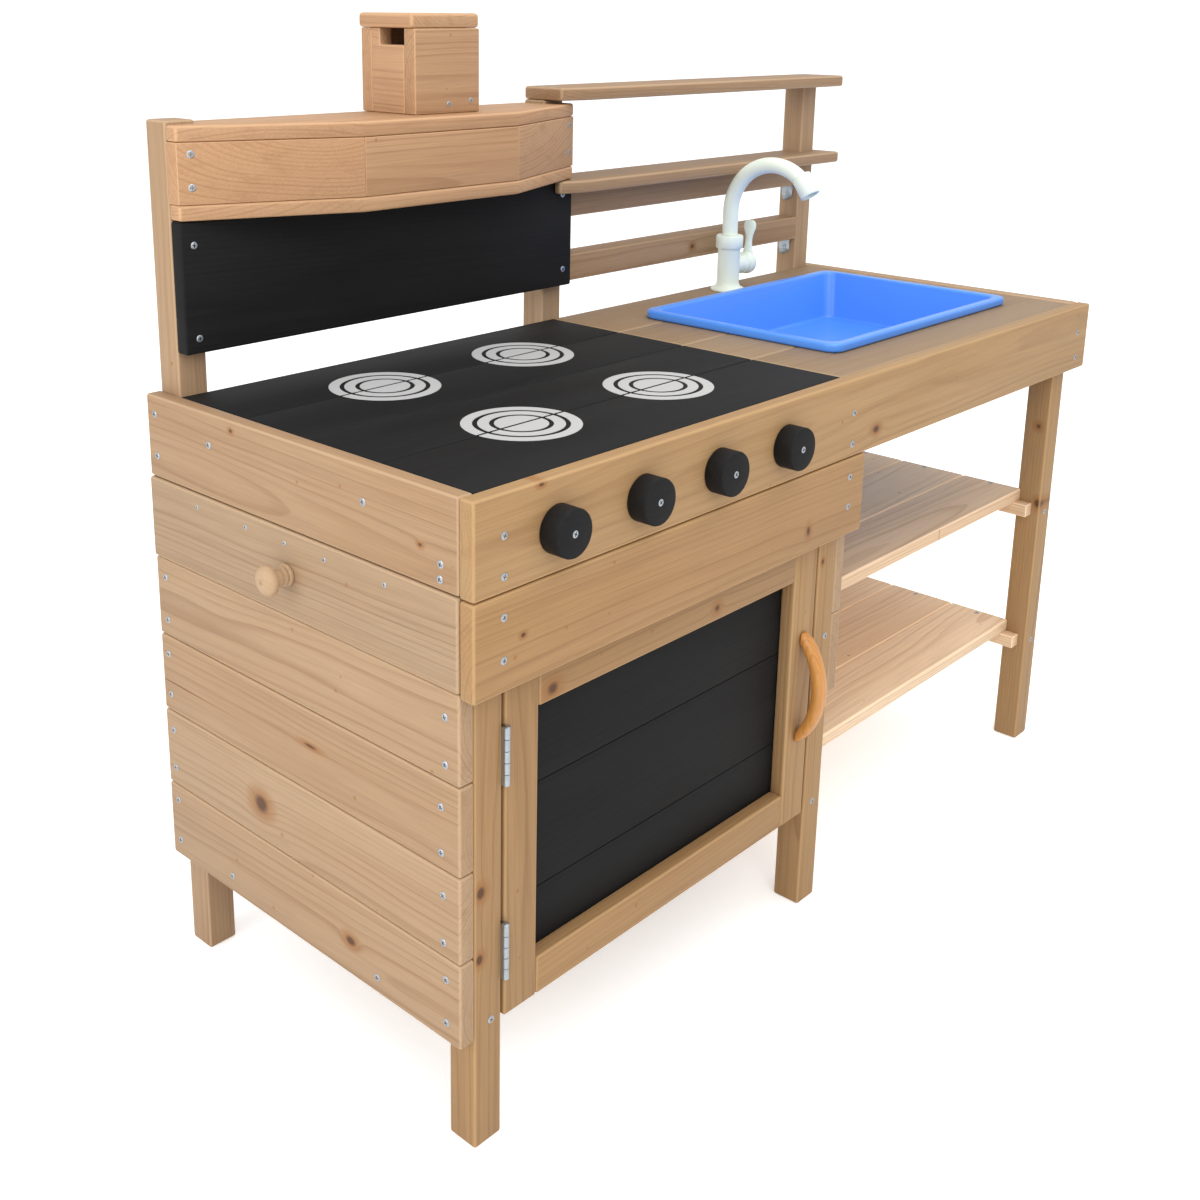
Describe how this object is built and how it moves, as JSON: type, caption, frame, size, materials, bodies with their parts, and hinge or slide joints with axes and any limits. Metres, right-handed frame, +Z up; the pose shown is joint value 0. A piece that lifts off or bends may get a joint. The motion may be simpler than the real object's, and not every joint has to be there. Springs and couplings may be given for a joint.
{
  "type": "toy kitchen",
  "caption": "Free-standing wooden play kitchen with an oven door, hob, lift-out basin and tap, open shelves, hood with chimney, chalkboard and pull-out leaf.",
  "frame": {"origin": "middle of the footprint, on the floor", "axes": "+X to the right along the front, +Y from the front to the back, +Z up"},
  "size_m": [1.2328, 0.5124, 1.0446],
  "materials": {
    "side_wood": "clear-oiled softwood, satin",
    "front_wood": "clear-oiled softwood, satin",
    "hood_wood": "clear-oiled softwood, satin",
    "black_paint": "softwood under matte black paint",
    "basin_blue": "smooth blue",
    "tap_ivory": "smooth ivory",
    "handle_wood": "orange varnish, semi-gloss",
    "zinc": "zinc plated"
  },
  "bodies": {
    "frame": {"post_front_left": "side_wood", "post_front_middle": "side_wood", "post_front_right": "side_wood", "post_back_left": "side_wood", "post_back_middle": "side_wood", "post_back_right": "side_wood", "left_top_rail": "side_wood", "left_side_board_1": "side_wood", "left_side_board_2": "side_wood", "left_side_board_3": "side_wood", "left_side_board_4": "side_wood", "right_end_rail": "side_wood", "cabinet_side_top": "side_wood", "cabinet_side_middle": "side_wood", "cabinet_side_low": "side_wood", "cabinet_floor": "side_wood", "top_shelf": "side_wood", "second_shelf": "side_wood", "shelf_rail": "side_wood", "hanging_rail": "side_wood", "leaf_runners": "side_wood", "front_apron": "front_wood", "lower_front_rail": "front_wood", "sink_board_front": "front_wood", "sink_board_back": "front_wood", "sink_boards_left": "front_wood", "sink_boards_right": "front_wood", "upper_shelf": "front_wood", "lower_shelf": "front_wood", "hood_bottom": "hood_wood", "hood_top": "hood_wood", "hood_fascia_left": "hood_wood", "hood_fascia_front": "hood_wood", "hood_fascia_right": "hood_wood", "chimney_box": "hood_wood", "chimney_lid": "hood_wood", "hob_board_1": "black_paint", "hob_board_2": "black_paint", "hob_board_3": "black_paint", "hob_board_4": "black_paint", "chalkboard": "black_paint", "tap_body": "tap_ivory", "hinge_low": "zinc", "hinge_high": "zinc"},
    "door": {"door_stile_left": "front_wood", "door_stile_right": "front_wood", "door_rail_top": "front_wood", "door_rail_bottom": "front_wood", "door_panel": "black_paint", "door_handle": "handle_wood"},
    "hob_knob_a": {"hob_knob_1": "black_paint"},
    "hob_knob_b": {"hob_knob_2": "black_paint"},
    "hob_knob_c": {"hob_knob_3": "black_paint"},
    "hob_knob_d": {"hob_knob_4": "black_paint"},
    "spout": {"tap_spout": "tap_ivory"},
    "lever": {"tap_lever": "tap_ivory"},
    "basin": {"basin": "basin_blue"},
    "leaf": {"leaf_front": "side_wood", "leaf_panel": "side_wood", "leaf_knob": "side_wood"}
  },
  "joints": [
    {"name": "door_swing", "type": "hinge", "parent": "frame", "child": "door", "pos_m": [-0.52845, -0.21905, 0.3], "axis": [0, 0, -1], "range_deg": [0, 165]},
    {"name": "hob_knob_turn_a", "type": "hinge", "parent": "frame", "child": "hob_knob_a", "pos_m": [-0.4826, -0.24485, 0.612], "axis": [0, -1, 0], "continuous": true},
    {"name": "hob_knob_turn_b", "type": "hinge", "parent": "frame", "child": "hob_knob_b", "pos_m": [-0.3651, -0.24485, 0.612], "axis": [0, -1, 0], "continuous": true},
    {"name": "hob_knob_turn_c", "type": "hinge", "parent": "frame", "child": "hob_knob_c", "pos_m": [-0.2476, -0.24485, 0.612], "axis": [0, -1, 0], "continuous": true},
    {"name": "hob_knob_turn_d", "type": "hinge", "parent": "frame", "child": "hob_knob_d", "pos_m": [-0.1301, -0.24485, 0.612], "axis": [0, -1, 0], "continuous": true},
    {"name": "spout_swivel", "type": "hinge", "parent": "frame", "child": "spout", "pos_m": [0.3354, 0.18415, 0.745], "axis": [0, 0, 1], "range_deg": [-45, 45]},
    {"name": "lever_tilt", "type": "hinge", "parent": "frame", "child": "lever", "pos_m": [0.3757, 0.18415, 0.694], "axis": [1, 0, 0], "range_deg": [-25, 45]},
    {"name": "basin_lift", "type": "slide", "parent": "frame", "child": "basin", "axis": [0, 0, 1], "range_m": [0, 0.12]},
    {"name": "leaf_slide", "type": "slide", "parent": "frame", "child": "leaf", "axis": [-1, 0, 0], "range_m": [0, 0.3]}
  ]
}
